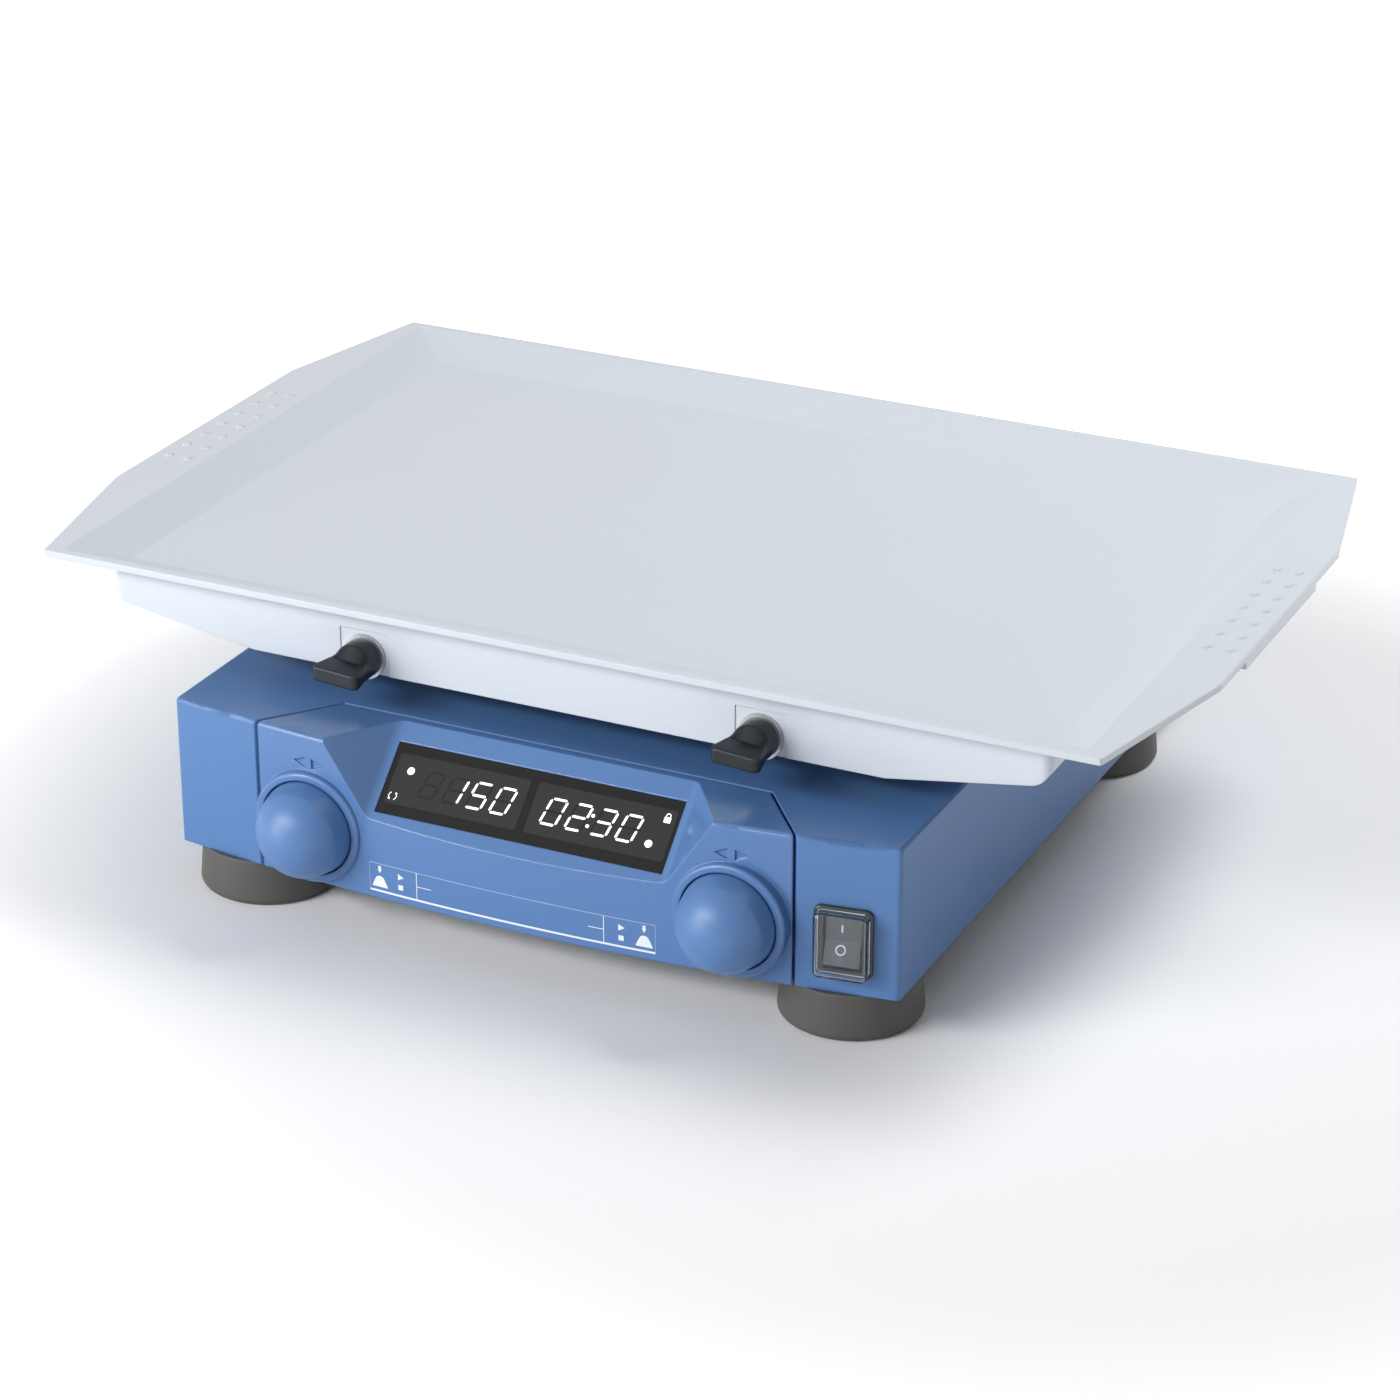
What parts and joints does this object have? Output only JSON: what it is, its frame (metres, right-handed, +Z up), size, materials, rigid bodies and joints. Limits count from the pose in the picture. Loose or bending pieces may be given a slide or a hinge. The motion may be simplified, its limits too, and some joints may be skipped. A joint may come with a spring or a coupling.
{
  "type": "orbital shaker",
  "caption": "Bench orbital shaker: low housing with display recess, domed knobs and mains rocker, belt-driven eccentric, parallel idler cranks, orbiting table and lift-off tray.",
  "frame": {"origin": "middle of the overall footprint on the bench, under the feet", "axes": "+Z up, +Y from the control panel to the rear connectors, +X to the right from the front"},
  "size_m": [0.42, 0.316, 0.1102],
  "materials": {
    "housing_blue": "satin moulding",
    "panel_blue": "satin moulding with printed legend",
    "knob_blue": "satin",
    "window_black": "gloss pane over the digits",
    "switch_black": "gloss",
    "rocker_grey": "satin, marked I and O",
    "cover_clear": "clear flexible hood",
    "tray_white": "satin",
    "lever_black": "fine satin",
    "foot_rubber": "matt",
    "seal_rubber": "matt",
    "belt_rubber": "matt",
    "cast_alloy": "as cast",
    "machined_alloy": "turned",
    "steel": "machined",
    "bush_bronze": "plain bushes",
    "motor_black": "black enamel",
    "board_green": "circuit board",
    "socket_black": "moulded socket"
  },
  "bodies": {
    "base": {"housing_shell": "housing_blue", "front_panel": "panel_blue", "display_window": "window_black", "display_module": "socket_black", "control_board": "board_green", "power_switch_frame": "switch_black", "switch_splash_cover": "cover_clear", "base_casting": "cast_alloy", "main_bearings": "steel", "idler_bearings": "steel", "foot_screws": "steel", "housing_screws": "steel", "panel_screws": "steel", "motor_body": "motor_black", "motor_bracket": "machined_alloy", "motor_screws": "steel", "drive_belt": "belt_rubber", "dust_seal": "seal_rubber", "power_inlet": "socket_black", "serial_port": "steel", "power_supply_board": "board_green", "encoder_left": "steel", "encoder_right": "steel", "foot_front_left": "foot_rubber", "foot_front_right": "foot_rubber", "foot_rear_left": "foot_rubber", "foot_rear_right": "foot_rubber"},
    "drive": {"drive_shaft": "steel", "drive_pulley": "machined_alloy", "counterweight": "steel", "counterweight_screws": "steel"},
    "motor_spindle": {"motor_rotor": "steel", "motor_pulley": "machined_alloy"},
    "table": {"table_plate": "cast_alloy", "crank_bearing": "steel", "idler_bushes": "bush_bronze", "rear_locating_studs": "steel"},
    "tray": {"tray": "tray_white"},
    "mains_rocker": {"power_rocker": "rocker_grey"},
    "idler_front_left": {"idler_crank_front_left": "steel"},
    "idler_front_right": {"idler_crank_front_right": "steel"},
    "idler_rear_left": {"idler_crank_rear_left": "steel"},
    "idler_rear_right": {"idler_crank_rear_right": "steel"},
    "left_push": {"encoder_plunger_left": "steel"},
    "left_knob": {"knob_left": "knob_blue", "encoder_shaft_left": "steel"},
    "left_clamp_washer": {"clamp_washer_left": "steel"},
    "left_clamp_screw": {"clamp_stud_left": "steel", "clamp_lever_left": "lever_black"},
    "right_push": {"encoder_plunger_right": "steel"},
    "right_knob": {"knob_right": "knob_blue", "encoder_shaft_right": "steel"},
    "right_clamp_washer": {"clamp_washer_right": "steel"},
    "right_clamp_screw": {"clamp_stud_right": "steel", "clamp_lever_right": "lever_black"}
  },
  "joints": [
    {"name": "drive_spin", "type": "hinge", "parent": "base", "child": "drive", "pos_m": [0, 0.01215, 0.06], "axis": [0, 0, 1], "continuous": true},
    {"name": "motor_spin", "type": "hinge", "parent": "base", "child": "motor_spindle", "pos_m": [-0.075, 0.01215, 0.04], "axis": [0, 0, 1], "continuous": true},
    {"name": "table_orbit", "type": "hinge", "parent": "drive", "child": "table", "pos_m": [0, 0.01415, 0.088], "axis": [0, 0, 1], "continuous": true},
    {"name": "tray_lift", "type": "slide", "parent": "table", "child": "tray", "axis": [0, 0, 1], "range_m": [0, 0.08]},
    {"name": "mains_rocker_tilt", "type": "hinge", "parent": "base", "child": "mains_rocker", "pos_m": [0.11619, -0.13059, 0.0357], "axis": [0.9905, 0.1373, 0], "range_deg": [0, 20]},
    {"name": "idler_front_left_spin", "type": "hinge", "parent": "base", "child": "idler_front_left", "pos_m": [-0.095, -0.07285, 0.06], "axis": [0, 0, 1], "continuous": true},
    {"name": "idler_front_right_spin", "type": "hinge", "parent": "base", "child": "idler_front_right", "pos_m": [0.095, -0.07285, 0.06], "axis": [0, 0, 1], "continuous": true},
    {"name": "idler_rear_left_spin", "type": "hinge", "parent": "base", "child": "idler_rear_left", "pos_m": [-0.095, 0.09715, 0.06], "axis": [0, 0, 1], "continuous": true},
    {"name": "idler_rear_right_spin", "type": "hinge", "parent": "base", "child": "idler_rear_right", "pos_m": [0.095, 0.09715, 0.06], "axis": [0, 0, 1], "continuous": true},
    {"name": "left_knob_push", "type": "slide", "parent": "base", "child": "left_push", "axis": [0, 1, 0], "range_m": [0, 0.001], "stiffness_N_per_m": 1500},
    {"name": "left_knob_turn", "type": "hinge", "parent": "left_push", "child": "left_knob", "pos_m": [-0.0786, -0.1458, 0.0375], "axis": [0, -1, 0], "continuous": true},
    {"name": "left_clamp_travel", "type": "slide", "parent": "table", "child": "left_clamp_washer", "axis": [0, -1, 0], "range_m": [0, 0.002]},
    {"name": "left_clamp_turn", "type": "hinge", "parent": "left_clamp_washer", "child": "left_clamp_screw", "pos_m": [-0.074, -0.1158, 0.088], "axis": [0, -1, 0], "range_deg": [0, 720]},
    {"name": "right_knob_push", "type": "slide", "parent": "base", "child": "right_push", "axis": [0, 1, 0], "range_m": [0, 0.001], "stiffness_N_per_m": 1500},
    {"name": "right_knob_turn", "type": "hinge", "parent": "right_push", "child": "right_knob", "pos_m": [0.0786, -0.1458, 0.0375], "axis": [0, -1, 0], "continuous": true},
    {"name": "right_clamp_travel", "type": "slide", "parent": "table", "child": "right_clamp_washer", "axis": [0, -1, 0], "range_m": [0, 0.002]},
    {"name": "right_clamp_turn", "type": "hinge", "parent": "right_clamp_washer", "child": "right_clamp_screw", "pos_m": [0.074, -0.1158, 0.088], "axis": [0, -1, 0], "range_deg": [0, 720]}
  ],
  "couplings": [
    {"joint": "motor_spin", "follows": "drive_spin", "ratio": 3},
    {"joint": "table_orbit", "follows": "drive_spin", "ratio": -1},
    {"joint": "idler_front_left_spin", "follows": "drive_spin", "ratio": 1},
    {"joint": "idler_front_right_spin", "follows": "drive_spin", "ratio": 1},
    {"joint": "idler_rear_left_spin", "follows": "drive_spin", "ratio": 1},
    {"joint": "idler_rear_right_spin", "follows": "drive_spin", "ratio": 1},
    {"joint": "left_clamp_turn", "follows": "left_clamp_travel", "rad_per_m": 6283.2},
    {"joint": "right_clamp_turn", "follows": "right_clamp_travel", "rad_per_m": 6283.2}
  ]
}
